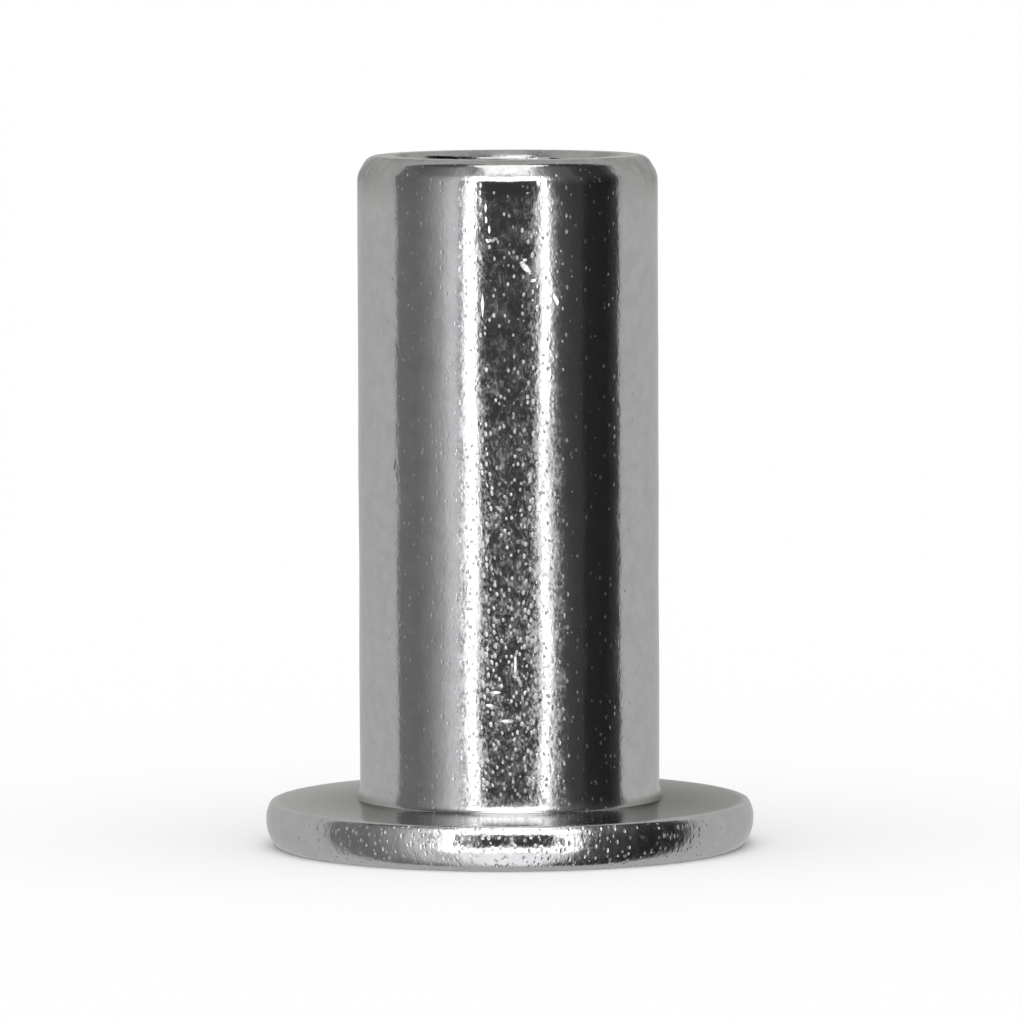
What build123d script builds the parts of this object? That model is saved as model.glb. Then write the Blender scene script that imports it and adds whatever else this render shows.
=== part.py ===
from build123d import *
import os
from math import asin, degrees, radians, sqrt, tan

# M5 rivet nut with a flat round head and a smooth, open-ended body, turned and
# cold-formed from one piece of steel. All sizes are in millimetres.
# The part stands on the outer face of its head: that face is z = 0, and +Z runs
# along the axis through the sleeve to the threaded free end.

# ---- Driving sizes ---------------------------------------------------------

total_length = 16.1  # outer face of the head to the free end

# Thread at the free end.
thread_diameter = 5.0  # M5
thread_pitch = 0.8
thread_length = 6.5  # thick-walled end, its countersink included
countersink_clearance = 0.1  # per side, beyond the thread's crest diameter
countersink_angle = 90.0  # full angle

# Sleeve between the head and the thread: it folds into a bulge when the nut is set.
screw_clearance = 0.3  # per side, between a screw and the plain bore
sleeve_wall = 0.68
step_angle = 120.0  # full angle of the cone between the bore and the thread
bore_mouth_radius = 0.15  # rounded edge of the bore in the head

# Head: a flat flange with a rolled rim. A quarter-ellipse turns in from the rim's
# widest line to the outer face, and a barrel arc runs up from it to the seat's edge.
flange_width = 2.2  # from the body out to the widest line
face_roll_height = 0.65  # widest line above the outer face
face_roll_depth = 0.36  # how far the rim draws in towards the outer face
seat_roll_height = 0.39  # seat above the widest line
seat_roll_radius = 0.7  # of the barrel arc
seat_edge_radius = 0.1  # edge between the barrel arc and the seat
seat_fillet = 0.4  # root of the head, where it meets the body

# Nose: the free end is drawn in to a rounded cone, so that it finds its hole.
nose_inset = 0.26  # per side, of the cone where it would meet the end face
nose_angle = 29.0  # slope of the cone from the axis
nose_shoulder_radius = 0.6  # where the cone leaves the body
nose_tip_radius = 0.34  # where the cone meets the end face

# ---- Derived sizes ---------------------------------------------------------

thread_height = sqrt(3) / 2 * thread_pitch  # of the sharp 60 degree triangle
thread_bore_radius = thread_diameter / 2 - 5 / 8 * thread_height
countersink_radius = thread_diameter / 2 + countersink_clearance
sleeve_bore_radius = thread_diameter / 2 + screw_clearance
body_radius = sleeve_bore_radius + sleeve_wall
head_radius = body_radius + flange_width
head_thickness = face_roll_height + seat_roll_height
nose_radius = body_radius - nose_inset


def cone_height(large_radius, small_radius, full_angle):
    """Height of a cone between two radii."""
    return (large_radius - small_radius) / tan(radians(full_angle / 2))


def rim():
    """The rolled rim, from the outer face up to the seat."""
    face_roll = EllipticalCenterArc(
        (head_radius - face_roll_depth, face_roll_height),
        face_roll_depth,
        face_roll_height,
        start_angle=-90,
        arc_size=90,
    )
    seat_roll = CenterArc(
        (head_radius - seat_roll_radius, face_roll_height),
        seat_roll_radius,
        start_angle=0,
        arc_size=degrees(asin(seat_roll_height / seat_roll_radius)),
    )
    return face_roll, seat_roll


def body_and_bore(seat_edge, face_edge):
    """From the seat's edge up the body, over the nose and down the stepped bore."""
    shoulder_height = total_length - cone_height(body_radius, nose_radius, 2 * nose_angle)
    countersink_depth = cone_height(countersink_radius, thread_bore_radius, countersink_angle)
    step_top = total_length - thread_length
    step_bottom = step_top - cone_height(sleeve_bore_radius, thread_bore_radius, step_angle)
    sharp = 0
    corners = [
        ((body_radius, head_thickness), seat_fillet),
        ((body_radius, shoulder_height), nose_shoulder_radius),
        ((nose_radius, total_length), nose_tip_radius),
        ((countersink_radius, total_length), sharp),
        ((thread_bore_radius, total_length - countersink_depth), sharp),
        ((thread_bore_radius, step_top), sharp),
        ((sleeve_bore_radius, step_bottom), sharp),
        ((sleeve_bore_radius, 0), bore_mouth_radius),
    ]
    points = [seat_edge] + [point for point, radius in corners] + [face_edge]
    return FilletPolyline(points, radius=[radius for point, radius in corners])


def half_section():
    """Half of the section through the axis, drawn in the XZ plane."""
    face_roll, seat_roll = rim()
    profile = body_and_bore(seat_roll @ 1, face_roll @ 0)
    outline = Wire([face_roll, seat_roll, *profile.edges()])
    section = make_face(outline)
    seat_edge = section.vertices().sort_by_distance(seat_roll @ 1)[0]
    return Plane.XZ * fillet(seat_edge, seat_edge_radius)


rivet_nut = revolve(half_section(), axis=Axis.Z, revolution_arc=360)

os.makedirs("parts", exist_ok=True)
export_step(rivet_nut, "parts/rivet_nut.step")
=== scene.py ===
# %% [markdown]
# # A zinc-plated rivet nut
#
# This lesson dresses one small part: a steel rivet nut for an M5 screw. It is a
# tube with a rolled flange at one end and an inside thread at the other. A setting
# tool pulls the threaded end towards the flange, the thin sleeve between them folds
# out, and a sheet of metal then has a strong thread in it.
#
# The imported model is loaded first. It is in metres, and it stands on the outer face
# of its head, with +Z running up the axis. Nothing in it is moved.

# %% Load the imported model
from math import asin, cos, degrees, floor, pi, radians, sin, sqrt, tan

import bmesh
import bpy
from mathutils import Matrix, Vector, noise


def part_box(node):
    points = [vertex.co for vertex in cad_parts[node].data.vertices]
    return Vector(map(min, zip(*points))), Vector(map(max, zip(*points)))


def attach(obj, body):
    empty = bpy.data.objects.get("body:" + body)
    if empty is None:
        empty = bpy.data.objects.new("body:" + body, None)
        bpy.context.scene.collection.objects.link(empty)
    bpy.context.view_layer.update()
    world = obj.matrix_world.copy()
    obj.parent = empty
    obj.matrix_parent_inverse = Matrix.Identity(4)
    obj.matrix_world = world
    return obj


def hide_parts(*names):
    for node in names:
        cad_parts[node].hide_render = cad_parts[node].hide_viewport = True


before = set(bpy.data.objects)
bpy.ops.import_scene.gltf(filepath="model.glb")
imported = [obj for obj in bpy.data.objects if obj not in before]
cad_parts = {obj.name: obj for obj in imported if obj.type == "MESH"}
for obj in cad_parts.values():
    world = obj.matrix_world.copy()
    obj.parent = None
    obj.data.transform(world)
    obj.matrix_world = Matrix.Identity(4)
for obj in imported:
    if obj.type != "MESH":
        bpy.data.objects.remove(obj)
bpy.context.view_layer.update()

MM = 0.001
low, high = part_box("rivet_nut")
print("rivet nut, in mm:", [round(size / MM, 2) for size in high - low])

# %% [markdown]
# ## Colours
#
# Colours are written as sRGB hex values, as a paint chart gives them. Shaders work
# in linear light, so one function turns the one into the other.


# %% A colour from its hex value
def linear(hex_value):
    """Linear RGBA of an sRGB colour such as '#C8C8C8'."""
    channels = [int(hex_value[start:start + 2], 16) / 255 for start in (1, 3, 5)]
    bent = [c / 12.92 if c <= 0.04045 else ((c + 0.055) / 1.055) ** 2.4 for c in channels]
    return (*bent, 1.0)


print("mid grey #808080 is", [round(c, 3) for c in linear("#808080")[:3]])

# %% [markdown]
# ## The camera
#
# A part this small is pictured with a long lens, so that its sides stay upright. The
# camera stands a little above the level of the free end and looks down by five
# degrees, so the seat of the flange shows as a thin ellipse and only a sliver of the
# mouth can be seen. It is set by its place and two turns, which is easier to follow
# than a tracking constraint. It also rolls by a fifth of a degree, because a nut
# that stands by itself is seldom dead upright in the picture.

# %% Camera
CAMERA_PLACE = (0.03 * MM, -273.4 * MM, 32.1 * MM)
PITCH_DOWN = radians(5.08)
ROLL = radians(-0.22)
LENS = 417.5

camera_data = bpy.data.cameras.new("camera")
camera_data.lens = LENS
camera_data.clip_start = 0.01
camera_data.clip_end = 20
camera = bpy.data.objects.new("camera", camera_data)
bpy.context.scene.collection.objects.link(camera)
camera.matrix_world = (
    Matrix.Translation(CAMERA_PLACE)
    @ Matrix.Rotation(pi / 2 - PITCH_DOWN, 4, "X")
    @ Matrix.Rotation(ROLL, 4, "Z")
)
bpy.context.scene.camera = camera
print("camera distance in mm:", round(camera.matrix_world.translation.length / MM))

# %% [markdown]
# ## The shape of the nut
#
# The real blank is cold-headed from one piece of steel, so every part of it is round
# about one axis. It could be built from cylinders and rounded with a Bevel modifier,
# but the rim and the nose are soft, uneven curves. A lathe suits them better: a
# profile of radius and height is swept round the axis, and each curve is drawn as
# it is. The sizes are those of the solid model, in millimetres: the length and the
# head's radius are read from its box, and the rest are written down here.

# %% Sizes
TOTAL_LENGTH = round(high[2] / MM, 3)
HEAD_RADIUS = round(high[0] / MM, 3)
BODY_RADIUS = 3.48
FACE_ROLL_DEPTH, FACE_ROLL_HEIGHT = 0.36, 0.65
SEAT_ROLL_RADIUS, SEAT_ROLL_HEIGHT = 0.7, 0.39
SEAT_EDGE_RADIUS = 0.1
NOSE_INSET, NOSE_ANGLE = 0.26, 29.0
NOSE_SHOULDER_RADIUS, NOSE_TIP_RADIUS = 0.6, 0.34
HEAD_THICKNESS = FACE_ROLL_HEIGHT + SEAT_ROLL_HEIGHT
print("head thickness in mm:", round(HEAD_THICKNESS, 2))


# %% Arcs and straight runs
def arc(centre, half_width, half_height, start, end, steps):
    """Points (radius, height) along an elliptical arc, angles in degrees."""
    points = []
    for step in range(steps + 1):
        angle = radians(start + (end - start) * step / steps)
        points.append((
            centre[0] + half_width * cos(angle),
            centre[1] + half_height * sin(angle),
        ))
    return points


def straight(start, end, steps):
    """Points inside a straight run, without its two ends."""
    return [
        tuple(a + (b - a) * step / steps for a, b in zip(start, end))
        for step in range(1, steps)
    ]


print("a quarter circle in two steps:", [
    tuple(round(size, 2) for size in point) for point in arc((0, 0), 1, 1, 0, 90, 2)
])

# %% [markdown]
# The rim of the flange is rolled, not turned. From the outer face it swells out in a
# quarter of a tall ellipse, and above the widest place it closes in a flatter barrel
# curve that ends in a small, sharp-looking edge at the seat. The edge is a little
# circle that touches the barrel from inside, so the light runs over it without a
# break.

# %% Rolled rim
SEAT_DRAFT = 2.6

face_roll = arc(
    (HEAD_RADIUS - FACE_ROLL_DEPTH, FACE_ROLL_HEIGHT),
    FACE_ROLL_DEPTH, FACE_ROLL_HEIGHT, -90, 0, steps=18,
)
barrel_centre = HEAD_RADIUS - SEAT_ROLL_RADIUS
edge_height = HEAD_THICKNESS - SEAT_EDGE_RADIUS
edge_reach = SEAT_ROLL_RADIUS - SEAT_EDGE_RADIUS
edge_rise = edge_height - FACE_ROLL_HEIGHT
edge_centre = barrel_centre + sqrt(edge_reach ** 2 - edge_rise ** 2)
touch = degrees(asin(edge_rise / edge_reach))
barrel = arc(
    (barrel_centre, FACE_ROLL_HEIGHT),
    SEAT_ROLL_RADIUS, SEAT_ROLL_RADIUS, 0, touch, steps=10,
)
edge = arc(
    (edge_centre, edge_height),
    SEAT_EDGE_RADIUS, SEAT_EDGE_RADIUS, touch, 90 - SEAT_DRAFT, steps=7,
)
print("seat edge in mm:", [round(size, 2) for size in edge[-1]])

# %% [markdown]
# The heading die leaves the seat very slightly conical, higher at the root, so that
# the blank comes out of it. At the root the body flares out in a curve that is taller
# than it is wide, and then meets the seat in a corner. The flare matters to the eye:
# it turns the reflection upwards, and gives the bright collar at the foot of the body.

# %% Flare at the root
FLARE_WIDTH, FLARE_HEIGHT, FLARE_TURN = 0.18, 0.46, 68.0

flare_foot = BODY_RADIUS + FLARE_WIDTH * (1 - cos(radians(FLARE_TURN)))
seat_rise = (edge[-1][0] - flare_foot) * tan(radians(SEAT_DRAFT))
flare_top = edge[-1][1] + seat_rise + FLARE_HEIGHT * sin(radians(FLARE_TURN))
flare = arc(
    (BODY_RADIUS + FLARE_WIDTH, flare_top),
    FLARE_WIDTH, FLARE_HEIGHT, 180 + FLARE_TURN, 180, steps=14,
)
print("seat rises to the root by mm:", round(seat_rise, 3))

# %% [markdown]
# The free end has a nose that leads it into the hole: a slope of 29 degrees to the
# axis, with a rounded shoulder below it and a rounded tip above.

# %% Nose
slope = radians(NOSE_ANGLE)
corner_height = TOTAL_LENGTH - NOSE_INSET / tan(slope)
shoulder = arc(
    (BODY_RADIUS - NOSE_SHOULDER_RADIUS,
     corner_height - NOSE_SHOULDER_RADIUS * tan(slope / 2)),
    NOSE_SHOULDER_RADIUS, NOSE_SHOULDER_RADIUS, 0, NOSE_ANGLE, steps=10,
)
tip = arc(
    (BODY_RADIUS - NOSE_INSET - NOSE_TIP_RADIUS * tan((pi / 2 - slope) / 2),
     TOTAL_LENGTH - NOSE_TIP_RADIUS),
    NOSE_TIP_RADIUS, NOSE_TIP_RADIUS, NOSE_ANGLE, 90, steps=12,
)
outside = (
    face_roll + barrel[1:] + edge[1:]
    + straight(edge[-1], flare[0], steps=6) + flare
    + straight(flare[-1], shoulder[0], steps=56) + shoulder + tip
)
print("outside profile points:", len(outside))

# %% [markdown]
# ## The inside
#
# The inside has a thread, which isn't round about the axis: its groove climbs one
# pitch in each turn. A Screw modifier could make one, but then it would have to be
# joined to the countersink and the sleeve with a boolean. Here each ring of the
# threaded stretch is sheared instead, its height growing with the angle, and the
# radius follows from where a point stands in the groove.
#
# The countersink at the mouth is a cone of 90 degrees, so it narrows as fast as it
# deepens, and the step below the thread is one of 120. Where the thread runs out into
# them the widest of the three shapes wins, as the cutting tools leave it. The edge
# between two of them is broken a little, because a real one is never razor sharp.

# %% Thread sizes
THREAD_RADIUS = 2.5
THREAD_PITCH = 0.8
THREAD_HEIGHT = sqrt(3) / 2 * THREAD_PITCH
THREAD_BORE_RADIUS = THREAD_RADIUS - 5 / 8 * THREAD_HEIGHT
THREAD_LENGTH = 6.5
COUNTERSINK_RADIUS = 2.6
SLEEVE_BORE_RADIUS = 2.8
STEP_ANGLE = 120.0
STEP_SLOPE = tan(radians(STEP_ANGLE / 2))
STEP_BOTTOM = (
    TOTAL_LENGTH - THREAD_LENGTH - (SLEEVE_BORE_RADIUS - THREAD_BORE_RADIUS) / STEP_SLOPE
)
print("thread turns:", round(THREAD_LENGTH / THREAD_PITCH, 1))


# %% Radius of the threaded end
BROKEN_EDGE = 0.04


def groove_radius(phase):
    """Radius of an M thread at a phase from 0 to 1 of its pitch: crest, flank, root."""
    root_half, crest_half = 1 / 16, 1 / 8
    away = abs(phase - floor(phase) - 0.5)
    flank = (away - root_half) / (0.5 - root_half - crest_half)
    flank = min(max(flank, 0.0), 1.0)
    return THREAD_RADIUS + (THREAD_BORE_RADIUS - THREAD_RADIUS) * flank


def wider(first, second):
    """The larger of two radii, with the edge between them broken a little."""
    overlap = max(BROKEN_EDGE - abs(first - second), 0.0)
    return max(first, second) + overlap ** 2 / (4 * BROKEN_EDGE)


def bore_radius(height, turn):
    """Radius of the threaded end at a height, for a turn from 0 to 1 round the axis."""
    thread = groove_radius(height / THREAD_PITCH - turn)
    countersink = COUNTERSINK_RADIUS - (TOTAL_LENGTH - height)
    step = SLEEVE_BORE_RADIUS - (height - STEP_BOTTOM) * STEP_SLOPE
    return wider(wider(thread, countersink), step)


print("mouth radius in mm:", round(bore_radius(TOTAL_LENGTH, 0), 2))

# %% [markdown]
# The sheared rings start above the end of the nut and stop below the step. Every
# point beyond those two heights is held at them, so the first and last rings are
# flat. At the seam, where one turn ends and the next begins, a ring has climbed by
# one pitch, so it goes on as the ring that many rows above.

# %% Rings of the threaded end
ROWS_PER_PITCH = 12
SEGMENTS = 320


def thread_rings():
    """Rings of (radius, height), from the countersink's mouth down to the step."""
    row_height = THREAD_PITCH / ROWS_PER_PITCH
    rows = int((TOTAL_LENGTH - STEP_BOTTOM) / row_height) + ROWS_PER_PITCH + 1
    rings = []
    for row in range(rows + 1):
        ring = []
        for segment in range(SEGMENTS):
            turn = segment / SEGMENTS
            height = TOTAL_LENGTH + THREAD_PITCH * turn - row * row_height
            height = min(max(height, STEP_BOTTOM), TOTAL_LENGTH)
            ring.append((bore_radius(height, turn), height))
        rings.append(ring)
    return rings


threaded = thread_rings()
print("rings in the threaded end:", len(threaded))

# %% [markdown]
# Below the step the sleeve has a plain bore, out to a small rounded mouth in the
# face of the head. The sleeve's wall is only 0.68 mm thick, which is what lets it
# fold.

# %% Sleeve bore
BORE_MOUTH_RADIUS = 0.15

sleeve_mouth = arc(
    (SLEEVE_BORE_RADIUS + BORE_MOUTH_RADIUS, BORE_MOUTH_RADIUS),
    BORE_MOUTH_RADIUS, BORE_MOUTH_RADIUS, 180, 270, steps=6,
)
print("sleeve wall in mm:", round(BODY_RADIUS - SLEEVE_BORE_RADIUS, 2))

# %% [markdown]
# ## Waviness
#
# A formed and plated blank is never quite true. Its skin is a little wavy, which
# shows as wobbling edges in every reflection. A bump in the material could fake that,
# but then the outline would stay dead straight, so it goes into the mesh. Smooth
# noise, about half a wave to the millimetre with a finer one on top, moves the outside
# in by up to three hundredths of a millimetre. On the body the mean of that is given
# back, so that its size stays true.

# %% Waviness
WAVE_DEPTH, FINE_WAVE_DEPTH = 0.02, 0.008
WAVES_ROUND, FINE_WAVES_ROUND = 0.55, 1.6
WAVES_UP, FINE_WAVES_UP = 0.4, 1.3
FINE_SHIFT = 9  # so that the two noises don't share their still points


def waviness(x, y, z):
    """How far the skin sits inside its widest place here, in millimetres."""
    broad = noise.noise(Vector((x * WAVES_ROUND, y * WAVES_ROUND, z * WAVES_UP)))
    fine = noise.noise(Vector((
        x * FINE_WAVES_ROUND + FINE_SHIFT, y * FINE_WAVES_ROUND, z * FINE_WAVES_UP)))
    return WAVE_DEPTH * (0.5 + 0.5 * broad) + FINE_WAVE_DEPTH * (0.5 + 0.5 * fine)


print("waviness at the front in mm:", [
    round(waviness(0, -BODY_RADIUS, z), 3) for z in (4, 8, 12)
])

# %% [markdown]
# The free end is cut off by a degree out of square, so behind the front lip it slopes
# down towards the back. The slope fades out over the last 1.2 mm of the length, and
# below that the nut is true.

# %% Place a point
END_SLOPE = tan(radians(1.0))
END_SLOPE_LENGTH = 1.2
FRONT_LIP = 0.2
END_SLOPE_FROM = BODY_RADIUS - NOSE_INSET - FRONT_LIP


def end_drop(y, height):
    """How far the sloping cut lowers a point near the free end."""
    along = min(max((height - TOTAL_LENGTH) / END_SLOPE_LENGTH + 1, 0.0), 1.0)
    return along * along * END_SLOPE * max(y + END_SLOPE_FROM, 0.0)


def place(radius, height, segment, wavy):
    """The point in metres at a radius and a height, on one segment round the axis."""
    angle = 2 * pi * segment / SEGMENTS
    x, y = radius * cos(angle), radius * sin(angle)
    height -= end_drop(y, height)
    if wavy:
        inset = waviness(x, y, height)
        if radius < BODY_RADIUS + FLARE_WIDTH:
            inset -= (WAVE_DEPTH + FINE_WAVE_DEPTH) / 2
        x, y = (radius - inset) * cos(angle), (radius - inset) * sin(angle)
    return (x * MM, y * MM, height * MM)


back_drop = end_drop(BODY_RADIUS, TOTAL_LENGTH)
print("drop at the back of the free end in mm:", round(back_drop, 3))

# %% [markdown]
# ## The mesh
#
# Now the rings are joined. The last ring, at the foot of the bore, is joined to the
# first, at the edge of the outer face, and that last band is the flat face itself.
# Held points of the thread lie on top of each other, so they are welded afterwards.
# At the seam a face can get the same corner twice. It is kept once, and a face left
# with two corners is left out.

# %% Lathe
rings = [
    [place(radius, height, segment, True) for segment in range(SEGMENTS)]
    for radius, height in outside
]
FIRST_THREAD_ROW = len(rings)
rings += [
    [place(radius, height, segment, False) for segment, (radius, height) in enumerate(ring)]
    for ring in threaded
]
LAST_THREAD_ROW = len(rings) - 1
rings += [
    [place(radius, height, segment, False) for segment in range(SEGMENTS)]
    for radius, height in sleeve_mouth
]


def lathe(name, rings):
    """A mesh of quads through the rings, closed from the last ring to the first."""
    faces = []
    for row in range(len(rings)):
        above = (row + 1) % len(rings)
        threaded_band = FIRST_THREAD_ROW <= row < above <= LAST_THREAD_ROW
        for segment in range(SEGMENTS):
            beside = (segment + 1) % SEGMENTS
            near, far = row, above
            if threaded_band and beside == 0:
                near, far = [max(r - ROWS_PER_PITCH, FIRST_THREAD_ROW) for r in (row, above)]
            face = (
                row * SEGMENTS + segment, near * SEGMENTS + beside,
                far * SEGMENTS + beside, above * SEGMENTS + segment,
            )
            face = tuple(dict.fromkeys(face))
            if len(face) > 2:
                faces.append(face)
    mesh = bpy.data.meshes.new(name)
    mesh.from_pydata([point for ring in rings for point in ring], [], faces)
    return mesh


nut_mesh = lathe("rivet_nut_skin", rings)
print("faces before welding:", len(nut_mesh.polygons))

# %% [markdown]
# The new mesh stands for the imported node of the same shape, which is hidden, and
# rides on the only body. Smooth shading is cut wherever two faces meet at more than
# 32 degrees: at the seat's corner, the mouth and the thread.

# %% Weld, smooth and hand over
WELD_DISTANCE = 1e-8  # metres
SHARP_ANGLE = radians(32)

joined = bmesh.new()
joined.from_mesh(nut_mesh)
bmesh.ops.remove_doubles(joined, verts=joined.verts, dist=WELD_DISTANCE)
bmesh.ops.recalc_face_normals(joined, faces=joined.faces)
loose = [point for point in joined.verts if not point.link_faces]
bmesh.ops.delete(joined, geom=loose, context="VERTS")
open_edges = sum(1 for side in joined.edges if not side.is_manifold)
joined.to_mesh(nut_mesh)
joined.free()
nut_mesh.shade_smooth()
nut_mesh.set_sharp_from_angle(angle=SHARP_ANGLE)

nut = bpy.data.objects.new("plated_rivet_nut", nut_mesh)
bpy.context.scene.collection.objects.link(nut)
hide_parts("rivet_nut")
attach(nut, "root")
triangles = sum(len(face.vertices) - 2 for face in nut_mesh.polygons)
print("triangles:", triangles, "open edges:", open_edges)

# %% [markdown]
# ## Zinc-plated steel
#
# The blank is low-carbon steel under a few thousandths of a millimetre of bright
# electroplated zinc, with a clear chromate over it. Bright zinc is a light, neutral
# grey metal. Where the steel beneath is smooth it is nearly a mirror, so what the eye
# sees is mostly the room. It can't be one flat roughness, though: the deposit grows
# in grains where the current was strong, the seat of the flange is darkened with
# painted shade, and every handling leaves nicks. Each of these is a mask or a height
# worked out from a point's place on the nut, and they are put together in one shader
# at the end.
#
# One small function adds a node, sets it up and links it. It gives back one output
# socket, so the nodes read like a sum written out.


# %% A helper that adds a node
def add_node(tree, kind, inputs=(), out=0, **settings):
    """Add a shader node and give back one of its output sockets.

    inputs is a list in the order of the node's sockets, or a dict of them by name or
    number. One that is itself a socket is linked, and any other is set as a value.
    settings are the node's own attributes, such as operation="MULTIPLY".
    """
    node = tree.nodes.new("ShaderNode" + kind)
    for name, value in settings.items():
        setattr(node, name, value)
    pairs = inputs.items() if isinstance(inputs, dict) else enumerate(inputs)
    for key, value in pairs:
        if isinstance(value, bpy.types.NodeSocket):
            tree.links.new(value, node.inputs[key])
        else:
            node.inputs[key].default_value = value
    return node.outputs[out] if len(node.outputs) else None


def new_material(name):
    """An empty node material and its tree."""
    material = bpy.data.materials.new(name)
    material.use_nodes = True
    material.node_tree.nodes.clear()
    return material, material.node_tree


zinc, tree = new_material("zinc_plated_steel")
print("a material without nodes yet:", zinc.name)

# %% [markdown]
# Every pattern is placed by the object's own coordinates, turned from metres to
# millimetres, so its scale is a real size and it stays on the nut from any side. The
# distance from the axis and the angle from the front come from the same numbers.
# Blender's Map Range node does most of the work that follows. With its smooth step it
# turns a length into a soft-edged share from 0 to 1.

# %% Places on the nut
SMOOTH = {"interpolation_type": "SMOOTHSTEP"}

on_nut = add_node(tree, "TexCoord", out="Object")
in_mm = add_node(tree, "VectorMath", {0: on_nut, "Scale": 1 / MM}, operation="SCALE")
across = add_node(tree, "SeparateXYZ", [in_mm])
toward_back, height = across.node.outputs["Y"], across.node.outputs["Z"]
flat_place = add_node(tree, "VectorMath", [in_mm, (1, 1, 0)], operation="MULTIPLY")
from_axis = add_node(tree, "VectorMath", [flat_place], "Value", operation="LENGTH")
toward_front = add_node(tree, "Math", [toward_back, -1.0], operation="MULTIPLY")
turned = add_node(tree, "Math", [across, toward_front], operation="ARCTAN2")
off_front = add_node(tree, "Math", [turned], operation="ABSOLUTE")
print("nodes for the places:", len(tree.nodes))

# %% [markdown]
# Four parts of the nut are finished differently: the rolled rim, the seat with the
# foot of the body, the free end, and the threaded bore. Each gets a mask. Most of
# them fade within two or three tenths of a millimetre, and the free end's within one
# millimetre. The seat's mask is two heights and a radius multiplied together, so that
# it stops short of the edge, and the painted shade on the seat leaves the edge bright.

# %% Masks for the parts
RIM_FADE, SEAT_FADE = 0.1, 0.06
FOOT_FROM, FOOT_TO = HEAD_THICKNESS + 0.12, HEAD_THICKNESS + 0.3
# The seat's painted shade starts this far inside the bright edge.
BRIGHT_EDGE, SEAT_SHADE_INSIDE = HEAD_RADIUS - 0.14, HEAD_RADIUS - 0.4
END_FROM, END_TO = TOTAL_LENGTH - 1.3, TOTAL_LENGTH - 0.3
THREAD_CLEAR, THREAD_REACHED = 2.72, 2.66

on_rim = add_node(
    tree, "MapRange", [height, HEAD_THICKNESS - RIM_FADE, HEAD_THICKNESS, 1.0, 0.0], **SMOOTH)
above_rim = add_node(
    tree, "MapRange", [height, HEAD_THICKNESS - SEAT_FADE, HEAD_THICKNESS, 0.0, 1.0], **SMOOTH)
below_foot = add_node(tree, "MapRange", [height, FOOT_FROM, FOOT_TO, 1.0, 0.0], **SMOOTH)
inside_edge = add_node(
    tree, "MapRange", [from_axis, BRIGHT_EDGE, SEAT_SHADE_INSIDE, 0.0, 1.0], **SMOOTH)
on_seat = add_node(tree, "Math", [below_foot, above_rim], operation="MULTIPLY")
on_seat = add_node(tree, "Math", [on_seat, inside_edge], operation="MULTIPLY")
on_end = add_node(tree, "MapRange", [height, END_FROM, END_TO, 0.0, 1.0], **SMOOTH)
in_thread = add_node(
    tree, "MapRange", [from_axis, THREAD_CLEAR, THREAD_REACHED, 0.0, 1.0], **SMOOTH)
print("nodes with the masks:", len(tree.nodes))

# %% [markdown]
# ### Painted shade on the seat, and a film on the free end
#
# The seat is darkened with painted shade in a warm grey, which takes some of the
# light away. It stands in for the shade and the dark reflections that the body gives
# the seat. The painted shade lies deeper near the root and to the right, and the
# front of the seat is left clear. The free end has a fainter, blotchy film. Blotches
# are 0.4 mm across, which is how far a drying drop's edge wanders.

# %% Painted shade on the seat, and a film on the free end
BLOTCHES_PER_MM = 2.6
EVEN_SEAT_SHADE, RIGHT_SEAT_SHADE, ROOT_SEAT_SHADE = 0.17, 0.25, 0.28
THIN_END_FILM, THICK_END_FILM = 0.12, 0.4
ROOT_AT, ROOT_FADED_AT = 3.6, 5.3
RIGHT_FADE = 4.0
CLEAR_FRONT_TO, SEAT_SHADE_FROM = 1.6, 3.4

# Painted shade on the seat: deeper near the root and to the right, and none at the front.
near_root = add_node(tree, "MapRange", [from_axis, ROOT_AT, ROOT_FADED_AT, 1.0, 0.0])
to_the_right = add_node(tree, "MapRange", [across, -RIGHT_FADE, RIGHT_FADE, 0.0, 1.0])
seat_shade = add_node(tree, "Math", [to_the_right, RIGHT_SEAT_SHADE, EVEN_SEAT_SHADE], operation="MULTIPLY_ADD")
seat_shade = add_node(tree, "Math", [near_root, ROOT_SEAT_SHADE, seat_shade], operation="MULTIPLY_ADD")
seat_shade = add_node(tree, "Math", [seat_shade, on_seat], operation="MULTIPLY")
beside_front = add_node(tree, "Math", [across], operation="ABSOLUTE")
away_from_front = add_node(
    tree, "MapRange", [beside_front, CLEAR_FRONT_TO, SEAT_SHADE_FROM, 0.0, 1.0], **SMOOTH)
seat_shade = add_node(tree, "Math", [seat_shade, away_from_front], operation="MULTIPLY")

blotches = add_node(tree, "TexNoise", {
    "Vector": in_mm, "Scale": BLOTCHES_PER_MM, "Detail": 4.0, "Roughness": 0.6})
end_film = add_node(
    tree, "MapRange", [blotches, 0.35, 0.65, THIN_END_FILM, THICK_END_FILM], **SMOOTH)
# The painted shade on the seat, plus the blotchy film on the free end.
shade_and_stain = add_node(tree, "Math", [on_end, end_film, seat_shade], operation="MULTIPLY_ADD")
print("stain at the root on the right:", round(EVEN_SEAT_SHADE + RIGHT_SEAT_SHADE + ROOT_SEAT_SHADE, 2))

# %% [markdown]
# ### Where the plating is coarse
#
# In the plating tank the side that faces the anode draws the most current, and there
# the zinc grows coarser. On this nut that is a strip up the front, strongest near the
# head and weaker towards the free end. On the rim it reaches further round. Just
# below the nose, where the skin was drawn smooth, it all but stops, and on the seat,
# which lies in the shadow of the body, there is little of it. Clouds of 1.5 mm make
# it uneven.

# %% Coarse strip
STRIP_ON_BODY, STRIP_ON_RIM = 27, 75
CLOUDS_PER_MM = 0.7
FULL_BELOW, WEAK_ABOVE = 6.0, 12.0
TOWARDS_END, UNDER_NOSE, UPON_SEAT = 0.4, 0.1, 0.15
NOSE_FADE_FROM, NOSE_FADE_TO = TOTAL_LENGTH - 0.9, TOTAL_LENGTH - 0.6

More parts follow.
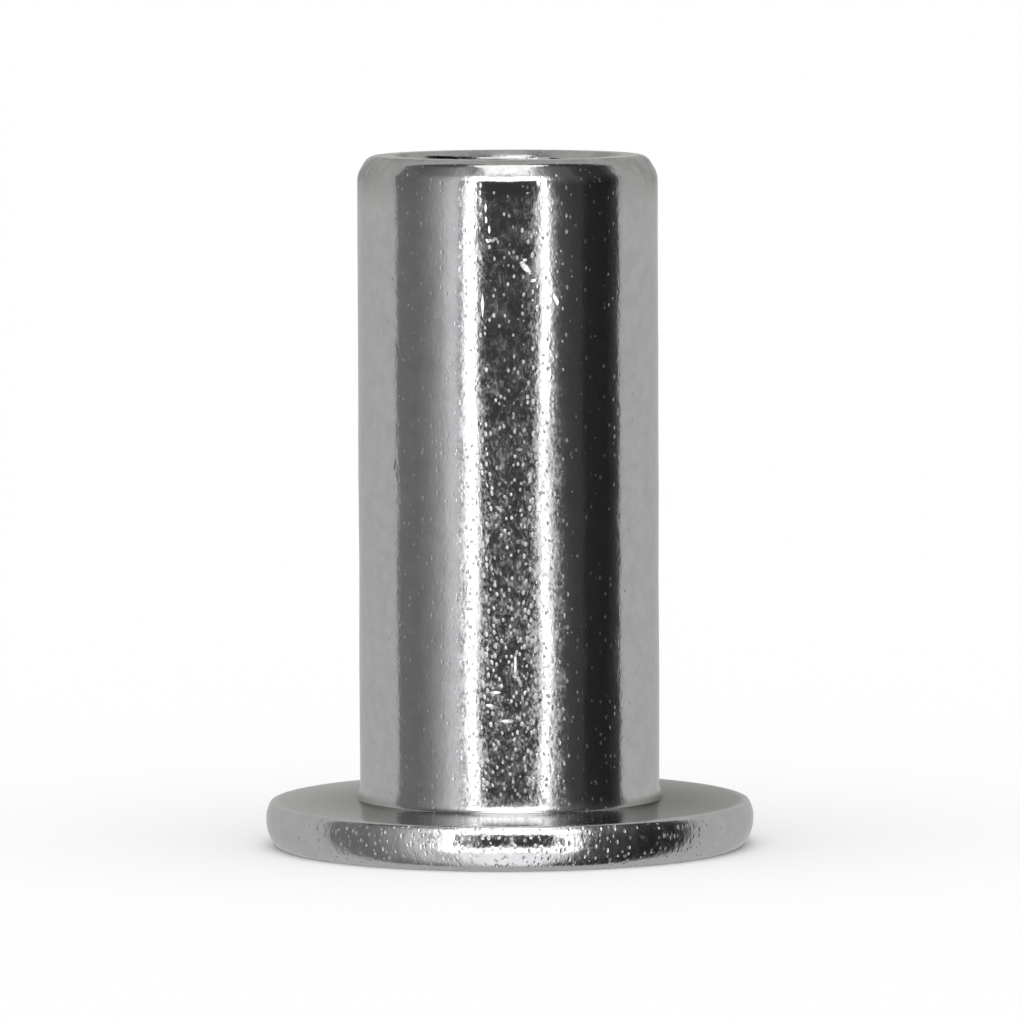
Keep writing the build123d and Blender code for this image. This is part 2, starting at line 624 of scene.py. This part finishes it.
strip_edge = add_node(tree, "MapRange", [
    on_rim, 0.0, 1.0, radians(STRIP_ON_BODY), radians(STRIP_ON_RIM)])
part_way = add_node(tree, "Math", [off_front, strip_edge], operation="DIVIDE")
in_strip = add_node(tree, "MapRange", [part_way, 0.5, 1.05, 1.0, 0.0], **SMOOTH)
low_down = add_node(
    tree, "MapRange", [height, FULL_BELOW, WEAK_ABOVE, 1.0, TOWARDS_END], **SMOOTH)
below_nose = add_node(
    tree, "MapRange", [height, NOSE_FADE_FROM, NOSE_FADE_TO, 1.0, UNDER_NOSE], **SMOOTH)
off_seat = add_node(tree, "MapRange", [on_seat, 0.0, 1.0, 1.0, UPON_SEAT])
clouds = add_node(tree, "TexNoise", {"Vector": in_mm, "Scale": CLOUDS_PER_MM, "Detail": 2.0})
cloudy = add_node(tree, "MapRange", [clouds, 0.35, 0.6, 0.75, 1.1])
coarse = in_strip
for factor in (low_down, cloudy, off_seat, below_nose):
    coarse = add_node(tree, "Math", [coarse, factor], operation="MULTIPLY")
print("coarse strip in degrees each side:", STRIP_ON_BODY)

# %% [markdown]
# ### Grains
#
# Single zinc crystals are a few thousandths of a millimetre, far too fine to show.
# What the eye picks out are clusters of them, about a tenth of a millimetre apart
# and drawn out along the axis, because the tube was drawn that way. So that is the
# spacing used, and places along the axis are squeezed by 0.62, which makes the
# pattern that much longer there. Each cluster is a shallow dimple whose walls catch
# light from other places than the skin round it does, and it shows as a bright fleck
# in a dark reflection or a dark one in a bright reflection.
#
# A Voronoi texture scatters them. Its Distance makes the dimple, and its Color gives
# each cell three random numbers: whether it has a dimple, how wide, and how deep.

# %% Grains
GRAIN_SPACING = 0.11
GRAIN_DEPTH = 0.006
DRAWN_OUT = 0.62
NARROW, WIDE = 0.22, 0.5

drawn = add_node(tree, "VectorMath", [in_mm, (1.0, 1.0, DRAWN_OUT)], operation="MULTIPLY")
cell = add_node(tree, "TexVoronoi", {
    "Vector": drawn, "Scale": 1 / GRAIN_SPACING, "Randomness": 0.95}, "Distance")
chance = add_node(tree, "SeparateXYZ", [cell.node.outputs["Color"]])
chance_width, chance_depth = chance.node.outputs["Y"], chance.node.outputs["Z"]
width = add_node(tree, "MapRange", [chance_width, 0.0, 1.0, NARROW, WIDE])
out_from_middle = add_node(tree, "Math", [cell, width], operation="DIVIDE")
dimple = add_node(tree, "MapRange", [out_from_middle, 0.25, 1.0, 1.0, 0.0], **SMOOTH)
print("grain clusters per square mm:", round(DRAWN_OUT / GRAIN_SPACING ** 2))

# %% [markdown]
# In the coarse strip most cells have a dimple. Beside it about three in ten have one,
# shallower, and round the back hardly any. The rim was squeezed in a die, which
# roughened the steel under the plating, so there they are nearly twice as deep.

# %% How many grains, and how deep
IN_STRIP_SHARE, BESIDE_SHARE, BACK_SHARE = 0.8, 0.3, 0.04
BESIDE_TO, BACK_FROM = radians(42), radians(50)
LEAST_DEPTH_SHARE = 0.3
BESIDE_DEPTH, STRIP_DEPTH, MORE_ON_RIM = 0.55, 1.05, 0.8

beside_strip = add_node(tree, "MapRange", [
    off_front, BESIDE_TO, BACK_FROM, BESIDE_SHARE, BACK_SHARE], **SMOOTH)
coarse_squared = add_node(tree, "Math", [coarse, coarse], operation="MULTIPLY")
share = add_node(
    tree, "Math", [coarse_squared, IN_STRIP_SHARE, beside_strip], operation="MULTIPLY_ADD")
present = add_node(tree, "Math", [chance, share], operation="LESS_THAN")
grain = add_node(tree, "Math", [dimple, present], operation="MULTIPLY")
depth = add_node(tree, "MapRange", [
    chance_depth, 0.0, 1.0, -LEAST_DEPTH_SHARE * GRAIN_DEPTH, -GRAIN_DEPTH])
deepening = add_node(
    tree, "MapRange", [coarse, 0.1, 0.8, BESIDE_DEPTH, STRIP_DEPTH], **SMOOTH)
deepening = add_node(tree, "Math", [on_rim, MORE_ON_RIM, deepening], operation="MULTIPLY_ADD")
depth = add_node(tree, "Math", [depth, deepening], operation="MULTIPLY")
print("deepest grain in the strip, in mm:", round(GRAIN_DEPTH * STRIP_DEPTH, 4))

# %% [markdown]
# ### Fine ripple and worked edges
#
# Between the grains the skin has a fine ripple, which frays the edges of reflections.
# The rim and the nose were worked hardest by the tools and carry longer, higher
# ripples, and the threaded bore has the marks of the tap. Both are noise heights in
# millimetres, added to the grains.

# %% Ripples
RIPPLES_PER_MM, RIPPLE_HEIGHT = 12.0, 0.002
MARKS_PER_MM = 4.5
RIM_MARKS, BODY_MARKS, THREAD_MARKS = 0.008, 0.0025, 0.005
NOSE_MARKS, FRONT_NOSE_MARKS = 0.003, 0.006

ripple = add_node(tree, "TexNoise", {
    "Vector": drawn, "Scale": RIPPLES_PER_MM, "Detail": 2.0, "Roughness": 0.55})
skin = add_node(tree, "Math", [ripple, RIPPLE_HEIGHT], operation="MULTIPLY")
skin = add_node(tree, "Math", [grain, depth, skin], operation="MULTIPLY_ADD")

marks = add_node(tree, "TexNoise", {
    "Vector": drawn, "Scale": MARKS_PER_MM, "Detail": 2.5, "Roughness": 0.55})
nose_marks = add_node(tree, "MapRange", [in_strip, 0.0, 1.0, NOSE_MARKS, FRONT_NOSE_MARKS])
nose_marks = add_node(tree, "Math", [on_end, nose_marks], operation="MULTIPLY")
mark_height = add_node(
    tree, "Math", [on_rim, RIM_MARKS, nose_marks], operation="MULTIPLY_ADD")
mark_height = add_node(tree, "Math", [mark_height, BODY_MARKS], operation="MAXIMUM")
mark_height = add_node(
    tree, "Math", [in_thread, THREAD_MARKS, mark_height], operation="MULTIPLY_ADD")
skin = add_node(tree, "Math", [marks, mark_height, skin], operation="MULTIPLY_ADD")
print("ripple height in mm:", RIPPLE_HEIGHT)

# %% [markdown]
# ### Nicks
#
# Each nick is a small facet pressed into the plating by another part in the bag. It
# is flat, so it mirrors one spot of the room and shows as one even patch of light or
# dark. An ellipsoid at the front skin marks where it is. It reaches 2 mm inwards, so
# the back of the nut isn't marked. Inside it the height falls evenly to one side, and
# that slope is the facet. A few nicks are listed, as on the real nut: two near the
# free end, some short dashes beside them, marks low on the body, and a hooked scratch
# on the left.

# %% Nicks
NICKS = (
    # x, z, half width, half height, slant, tilt to the right, tilt down
    (0.41, 13.66, 0.055, 0.17, -42, 7.2, 0),
    (0.39, 13.84, 0.045, 0.03, 0, 7.5, 0),
    (0.59, 13.37, 0.07, 0.035, 0, 4.2, 0),
    (1.10, 12.92, 0.055, 0.14, -33, -4.5, 0),
    (-0.46, 14.28, 0.05, 0.035, 30, -4.6, 0),
    (-0.37, 14.29, 0.06, 0.03, 0, -5.4, 0),
    (-0.28, 14.33, 0.05, 0.03, -25, -6.0, 0),
    (-0.50, 15.04, 0.03, 0.1, 0, -5.0, 0),
    (-0.49, 14.76, 0.03, 0.08, 0, -5.2, 0),
    (-0.42, 14.54, 0.03, 0.1, 0, -5.4, 0),
    (-0.58, 12.80, 0.03, 0.28, 0, -4.5, 0),
    (-2.61, 9.05, 0.035, 0.16, 12, 8.0, 0),
    (-2.56, 8.78, 0.035, 0.12, -20, 8.0, 0),
    (0.14, 4.50, 0.03, 0.32, 0, 11.0, 0),
    (-0.32, 3.90, 0.13, 0.03, 0, 0, 8.0),
    (-0.45, 3.60, 0.09, 0.03, 0, 0, 8.0),
    (-0.07, 3.24, 0.15, 0.03, 0, 0, 8.0),
)
NICK_REACH = 2.0
FRONT_SKIN = -3.4

for x, z, half_width, half_height, slant, tilt_right, tilt_down in NICKS:
    in_nick = add_node(tree, "Mapping", {
        "Vector": in_mm, "Location": (x, FRONT_SKIN, z), "Rotation": (0, radians(slant), 0),
        "Scale": (half_width, NICK_REACH, half_height)}, vector_type="TEXTURE")
    from_middle = add_node(tree, "VectorMath", [in_nick], "Value", operation="LENGTH")
    inside = add_node(tree, "MapRange", [from_middle, 0.8, 1.15, 1.0, 0.0], **SMOOTH)
    offset = add_node(tree, "VectorMath", [in_mm, (x, 0, z)], operation="SUBTRACT")
    fall = add_node(tree, "VectorMath", [
        offset, (-tan(radians(tilt_right)), 0, tan(radians(tilt_down)))],
        "Value", operation="DOT_PRODUCT")
    skin = add_node(tree, "Math", [inside, fall, skin], operation="MULTIPLY_ADD")
print("nicks:", len(NICKS))

# %% [markdown]
# ### Haze
#
# Clean bright zinc has a roughness of about 0.1. Coarse plating scatters more, in
# specks of a sixteenth of a millimetre and in soft patches. A real speck is finer
# still, and this is the smallest that shows. The grains' own walls are duller, and so
# are the foot of the body and the threaded bore, which the bright deposit hardly
# reaches. The rim has rubbed against other parts and is a little less hazy.

# %% Haze and roughness
BRIGHT_ROUGHNESS = 0.1
SPECKS_PER_MM = 16.0
LEAST_SPECK_HAZE, SPECK_HAZE, PATCH_HAZE = 0.02, 0.12, 0.09
HAZE_ELSEWHERE, RIM_RUBBED = 0.12, -0.15
DULL_FOOT, DULL_THREAD, DULL_GRAIN = 0.04, 0.06, 0.25
DULL_FROM, DULL_TO = HEAD_THICKNESS + 0.1, HEAD_THICKNESS + 0.6

specks = add_node(tree, "TexNoise", {"Vector": drawn, "Scale": SPECKS_PER_MM, "Detail": 1.0})
speck_haze = add_node(
    tree, "MapRange", [specks, 0.4, 0.64, LEAST_SPECK_HAZE, SPECK_HAZE], **SMOOTH)
patch_haze = add_node(tree, "MapRange", [blotches, 0.4, 0.66, 0.0, PATCH_HAZE], **SMOOTH)
haze = add_node(tree, "Math", [speck_haze, patch_haze], operation="ADD")
hazy = add_node(tree, "MapRange", [coarse, 0.0, 0.6, HAZE_ELSEWHERE, 1.0], **SMOOTH)
hazy = add_node(tree, "Math", [on_rim, RIM_RUBBED, hazy], operation="MULTIPLY_ADD")
haze = add_node(tree, "Math", [haze, hazy], operation="MULTIPLY")

foot = add_node(tree, "MapRange", [height, DULL_FROM, DULL_TO, DULL_FOOT, 0.0], **SMOOTH)
foot = add_node(tree, "Math", [foot, above_rim], operation="MULTIPLY")
roughness = add_node(tree, "Math", [foot, BRIGHT_ROUGHNESS], operation="ADD")
roughness = add_node(tree, "Math", [in_thread, DULL_THREAD, roughness], operation="MULTIPLY_ADD")
roughness = add_node(tree, "Math", [roughness, haze], operation="ADD")
roughness = add_node(tree, "Math", [grain, DULL_GRAIN, roughness], operation="MULTIPLY_ADD")
print("roughness of a grain's wall:", BRIGHT_ROUGHNESS + DULL_GRAIN)

# %% [markdown]
# ### The shader
#
# Zinc reflects about six tenths of the light, evenly over the colours, so its base
# colour is a light neutral grey, and it drifts a little from blotch to blotch. The
# painted shade on the seat and the film on the free end mix in a warm grey. At a
# grazing angle bare metal reflects nearly all of the light, which the specular tint
# gives, but the painted shade and the film hold it back there too. Metallic is 1 and
# the IOR stays at its default. The Bump node's distance is one millimetre, so that
# the heights above are real ones.

# %% Zinc shader
# The warm grey mixed in below is the painted shade on the seat and the film on the free end.
ZINC, LIGHTER_ZINC = linear("#C8C8C8"), linear("#D2D2D2")
GRAZING_ZINC, SHADE_AND_STAIN_ZINC = linear("#F2F2F2"), linear("#8C8A84")

tone = add_node(tree, "MapRange", [blotches, 0.3, 0.7, 0.0, 1.0], **SMOOTH)
colour = add_node(tree, "Mix", {0: tone, 6: ZINC, 7: LIGHTER_ZINC}, 2, data_type="RGBA")
colour = add_node(tree, "Mix", {0: shade_and_stain, 6: colour, 7: SHADE_AND_STAIN_ZINC}, 2, data_type="RGBA")
grazing = add_node(
    tree, "Mix", {0: shade_and_stain, 6: GRAZING_ZINC, 7: SHADE_AND_STAIN_ZINC}, 2, data_type="RGBA")
bumped = add_node(tree, "Bump", {"Height": skin, "Strength": 1.0, "Distance": MM})
metal = add_node(tree, "BsdfPrincipled", {
    "Base Color": colour, "Specular Tint": grazing, "Metallic": 1.0,
    "Roughness": roughness, "Normal": bumped,
})
add_node(tree, "OutputMaterial", {"Surface": metal})
nut_mesh.materials.append(zinc)
print("zinc nodes:", len(tree.nodes))

# %% [markdown]
# ## Floor and room
#
# The nut stands on a plain sheet of white paper that runs out of sight, so it needs
# no backdrop. A soft sun overhead stands for a large diffuser: it lights the paper
# and leaves a soft shadow, but metal doesn't mirror it. What the metal mirrors is the
# room, a plain light grey, and the paper is kept out of the mirror as well, so that
# the flanks stay an even grey.

# %% Floor
FLOOR_HALF = 3.0

paper, tree = new_material("white_paper")
sheet = add_node(tree, "BsdfDiffuse", {"Color": linear("#F9F9F9")})
add_node(tree, "OutputMaterial", {"Surface": sheet})
floor_mesh = bpy.data.meshes.new("floor")
floor_mesh.from_pydata(
    [(x * FLOOR_HALF, y * FLOOR_HALF, 0) for x, y in ((-1, -1), (1, -1), (1, 1), (-1, 1))],
    [], [(0, 1, 2, 3)],
)
floor_mesh.materials.append(paper)
floor_object = bpy.data.objects.new("floor", floor_mesh)
bpy.context.scene.collection.objects.link(floor_object)
floor_object.visible_glossy = False
print("floor side in m:", 2 * FLOOR_HALF)

# %% Room and lamp
SUN_STRENGTH = 1.5
SUN_SPREAD, SUN_TILT = radians(80), radians(10)

room = bpy.data.worlds.new("grey_room")
bpy.context.scene.world = room
room.use_nodes = True
room_light = room.node_tree.nodes["Background"]
room_light.inputs["Color"].default_value = linear("#C9C9C8")
room_light.inputs["Strength"].default_value = 1.0

diffuser = bpy.data.lights.new("soft_overhead", "SUN")
diffuser.energy = SUN_STRENGTH
diffuser.angle = SUN_SPREAD
diffuser_object = bpy.data.objects.new("soft_overhead", diffuser)
diffuser_object.rotation_euler = (SUN_TILT, 0, 0)
diffuser_object.visible_glossy = False
bpy.context.scene.collection.objects.link(diffuser_object)
print("sun strength:", SUN_STRENGTH)

# %% [markdown]
# ## Cards
#
# In a studio, bright metal is lit with cards: white ones for the highlights, black
# and grey ones for the dark edges that show its roundness. Here they are real pieces
# of geometry that glow, placed on spheres round the nut, but only reflections can see
# them. So they shape the metal without changing the light on the paper. A card is a
# patch of such a sphere, and its brightness can change from its left edge to its
# right and towards its top. Area lamps would do for the white ones, but a lamp can't
# be black.

# %% Pieces that only reflections see
CARD_TINT = (0.98, 0.975, 1.0)


def reflect_only(name, mesh, material):
    """Add a glowing stage piece that shows only in reflections."""
    made = bpy.data.objects.new(name, mesh)
    bpy.context.scene.collection.objects.link(made)
    mesh.materials.append(material)
    made.visible_camera = False
    made.visible_diffuse = False
    made.visible_shadow = False
    made.visible_transmission = False


def ceiling_panel(name, height, across, along, brightness):
    """A flat panel overhead; across and along are its limits as shares of its height."""
    (left, right), (near, far) = [[height * share for share in pair] for pair in (across, along)]
    mesh = bpy.data.meshes.new(name)
    mesh.from_pydata(
        [(left, near, height), (right, near, height), (right, far, height), (left, far, height)],
        [], [(0, 1, 2, 3)],
    )
    material, tree = new_material(name)
    glow = add_node(tree, "Emission", {"Strength": brightness})
    add_node(tree, "OutputMaterial", {"Surface": glow})
    reflect_only(name, mesh, material)


PANEL_HEIGHT = 0.5

ceiling_panel("overhead_panel", PANEL_HEIGHT, (-0.3, 0.32), (-0.726, -0.04), 1.9)
print("overhead panel at m:", PANEL_HEIGHT)


# %% Curved cards
CARD_COLUMNS, CARD_ROWS = 24, 12
LEAN_FROM = 8  # degrees up


def card_mesh(name, turns, rises, distance, lean):
    """A patch of a sphere, with its place across and up the card as its UV map."""
    points, faces = [], []
    for row in range(CARD_ROWS + 1):
        rise = rises[0] + (rises[1] - rises[0]) * row / CARD_ROWS
        first, last = [
            turn + slant * max(rise - LEAN_FROM, 0) for turn, slant in zip(turns, lean)
        ]
        rise = radians(rise)
        for column in range(CARD_COLUMNS + 1):
            turn = radians(first + (last - first) * column / CARD_COLUMNS)
            points.append((
                distance * cos(rise) * sin(turn),
                -distance * cos(rise) * cos(turn),
                distance * sin(rise),
            ))
    for row in range(CARD_ROWS):
        for column in range(CARD_COLUMNS):
            corner = row * (CARD_COLUMNS + 1) + column
            faces.append((
                corner, corner + 1, corner + CARD_COLUMNS + 2, corner + CARD_COLUMNS + 1,
            ))
    mesh = bpy.data.meshes.new(name)
    mesh.from_pydata(points, [], faces)
    layer = mesh.uv_layers.new(name="across")
    for loop in mesh.loops:
        row, column = divmod(loop.vertex_index, CARD_COLUMNS + 1)
        layer.data[loop.index].uv = (column / CARD_COLUMNS, row / CARD_ROWS)
    return mesh


def card(name, turns, rises, distance, stops, lean=(0, 0), fade=(0.8, 1, 1)):
    """A curved card that shows only in reflections.

    turns and rises are its limits in degrees: to the right of the camera, and up.
    stops are (place from 0 to 1, brightness) from its left edge to its right. lean is
    how far its first and last edges turn for each degree that they rise. fade gives
    two heights from 0 to 1, and the share of the brightness that is left above them.
    """
    material, tree = new_material(name)
    on_card = add_node(tree, "UVMap", uv_map="across")
    along = add_node(tree, "SeparateXYZ", [on_card])
    shade = add_node(tree, "ValToRGB", [along])
    peak = max(brightness for _, brightness in stops)
    elements = shade.node.color_ramp.elements
    while len(elements) < len(stops):
        elements.new(0.5)
    for element, (position, brightness) in zip(elements, stops):
        element.position = position
        element.color = (*[channel * brightness / peak for channel in CARD_TINT], 1)
    up = along.node.outputs["Y"]
    strength = add_node(tree, "MapRange", [up, fade[0], fade[1], peak, peak * fade[2]])
    glow = add_node(tree, "Emission", [shade, strength])
    add_node(tree, "OutputMaterial", {"Surface": glow})
    reflect_only(name, card_mesh(name, turns, rises, distance, lean), material)


print("card points:", (CARD_COLUMNS + 1) * (CARD_ROWS + 1))

# %% [markdown]
# Straight ahead is the dark lens in its hood, with a bright frame of light round it:
# the front of the body mirrors it as a dark core between two white strips. Below the
# frame a softer panel lights the underside of the rim. The hood, the frame and the
# side cards meet at shared edges, given in degrees from straight ahead. The top and
# the bottom of the frame stand a millimetre behind its sides, because where two cards
# overlap they mustn't lie in one surface.

# %% Lens, frame and low panel
HOOD_LEFT, HOOD_RIGHT = -24.4, 24.8
HOOD_LOW, HOOD_HIGH = -15, 31
FRAME_LEFT, FRAME_RIGHT = -32.6, 31.4
FRAME_LOW, FRAME_HIGH = -25, 50
LOWEST = -74
SIDE_GLOW, END_GLOW, LOW_GLOW = 3.7, 3.2, 1.35
HOOD_DISTANCE, FRAME_DISTANCE, LOW_DISTANCE = 0.5, 0.52, 0.53
BEHIND_SIDES = FRAME_DISTANCE + MM

card(
    "dark_lens_hood", (HOOD_LEFT, HOOD_RIGHT), (HOOD_LOW, HOOD_HIGH), HOOD_DISTANCE,
    [(0, 0.06), (1, 0.055)],
)
card(
    "light_frame_left", (FRAME_LEFT, HOOD_LEFT), (FRAME_LOW, FRAME_HIGH), FRAME_DISTANCE,
    [(0, 1.2), (0.2, SIDE_GLOW), (1, SIDE_GLOW)],
)
card(
    "light_frame_right", (HOOD_RIGHT, FRAME_RIGHT), (FRAME_LOW, FRAME_HIGH), FRAME_DISTANCE,
    [(0, SIDE_GLOW), (0.85, SIDE_GLOW), (1, 1.2)],
)
card(
    "light_frame_top", (-43, 41), (HOOD_HIGH, FRAME_HIGH), BEHIND_SIDES,
    [(0, 0.3), (0.14, END_GLOW), (0.86, END_GLOW), (1, 0.3)],
)
card(
    "light_frame_bottom", (-34, 32), (FRAME_LOW, HOOD_LOW), BEHIND_SIDES,
    [(0, END_GLOW), (1, END_GLOW)],
)
card(
    "low_front_panel", (-27, 27), (LOWEST, -28), LOW_DISTANCE,
    [(0, LOW_GLOW), (1, LOW_GLOW)],
)
print("lens hood in degrees across:", round(HOOD_RIGHT - HOOD_LEFT, 1))

# %% [markdown]
# On the left a grey card lightens step by step towards the lens, and on the right a
# black one keeps the shade side deep. Both stop where the sides of the body mirror
# the plain room behind the nut, and their far edges lean back as they rise, which
# rounds the corners of the dark bands at the nose.

# %% Grey card and black card
HIGHEST = 80
SIDE_DISTANCE = 0.56
LEAN = 0.45

card(
    "grey_card_left", (-94.5, FRAME_LEFT), (LOWEST, HIGHEST), SIDE_DISTANCE,
    [(0, 0.22), (0.33, 0.2), (0.5, 0.28), (0.68, 0.5), (0.8, 0.84), (0.89, 0.9),
     (0.92, 0.35), (0.95, 0.35), (1, 1.2)],
    lean=(-LEAN, 0), fade=(0.73, 0.85, 0.5),
)
card(
    "black_card_right", (FRAME_RIGHT, 94), (LOWEST, HIGHEST), SIDE_DISTANCE,
    [(0, 0.3), (0.12, 0.1), (0.3, 0.07), (0.44, 0.06), (0.47, 0.03), (0.8, 0.022),
     (0.93, 0.05), (1, 0.1)],
    lean=(0, LEAN), fade=(0.55, 0.8, 2.4),
)

# %% [markdown]
# ## Finish
#
# The view transform is Standard, so that a colour comes out as it was written.

# %% Finish
bpy.context.scene.view_settings.view_transform = "Standard"
